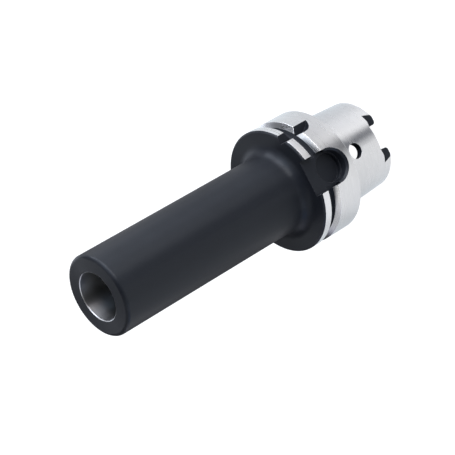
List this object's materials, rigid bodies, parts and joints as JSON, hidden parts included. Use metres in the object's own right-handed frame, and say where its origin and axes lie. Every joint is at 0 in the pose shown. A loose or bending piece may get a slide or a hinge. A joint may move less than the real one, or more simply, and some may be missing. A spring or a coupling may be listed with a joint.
{
  "type": "morse taper adapter",
  "caption": "Hollow taper shank tool holder with a gripper flange and a long round body that holds a Morse taper tool with an inner draw screw.",
  "frame": {"origin": "on the axis, in the end face of the hollow shank that the part stands on", "axes": "+Z along the axis towards the mouth of the Morse socket, +X through the wide flange keyway, the shallow drive slot and the access hole"},
  "size_m": [0.063, 0.063, 0.172],
  "materials": {
    "blackened_ground_steel": "satin black oxide, with the shank taper, contact face, flange rims, groove flank and Morse socket ground bright",
    "screw_steel": "black oxide, turned",
    "spring_steel": "phosphated spring steel"
  },
  "bodies": {
    "holder": {"adapter_body": "blackened_ground_steel", "retaining_ring": "spring_steel"},
    "screw": {"draw_screw": "screw_steel"}
  },
  "joints": [
    {"name": "draw_screw_turn", "type": "hinge", "parent": "holder", "child": "screw", "pos_m": [0, 0, 0.071], "axis": [0, 0, 1], "continuous": true}
  ]
}
